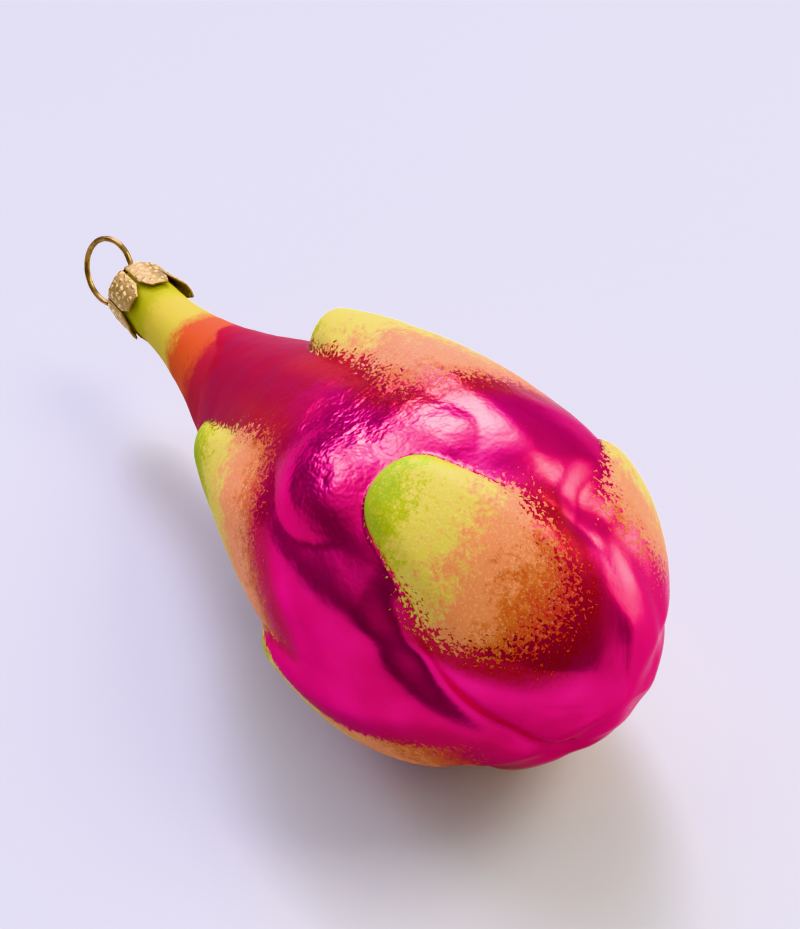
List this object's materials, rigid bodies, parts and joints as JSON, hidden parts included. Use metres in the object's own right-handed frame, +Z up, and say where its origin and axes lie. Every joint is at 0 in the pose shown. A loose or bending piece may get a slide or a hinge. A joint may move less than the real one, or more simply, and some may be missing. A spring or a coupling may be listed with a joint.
{
  "type": "blown glass dragon fruit ornament",
  "caption": "Hollow blown glass hanging ornament in the shape of a dragon fruit, lying on its side, with raised bracts, a long neck, a stamped crown cap and a wire loop.",
  "frame": {"origin": "on the surface it lies on, under the middle of its bounding box", "axes": "+Z up, +X along its length towards the round end, the neck and loop to -X"},
  "size_m": [0.138, 0.0522, 0.0543],
  "materials": {
    "lacquered_glass": "silvered inside, satin pink lacquer with sponged green, yellow, orange and red bract tips",
    "cap_brass": "stamped with a fine pebble grain",
    "wire_brass": "bright drawn wire"
  },
  "bodies": {
    "root": {"glass_body": "lacquered_glass", "crown_cap": "cap_brass", "hanger_wire": "wire_brass"}
  },
  "joints": []
}
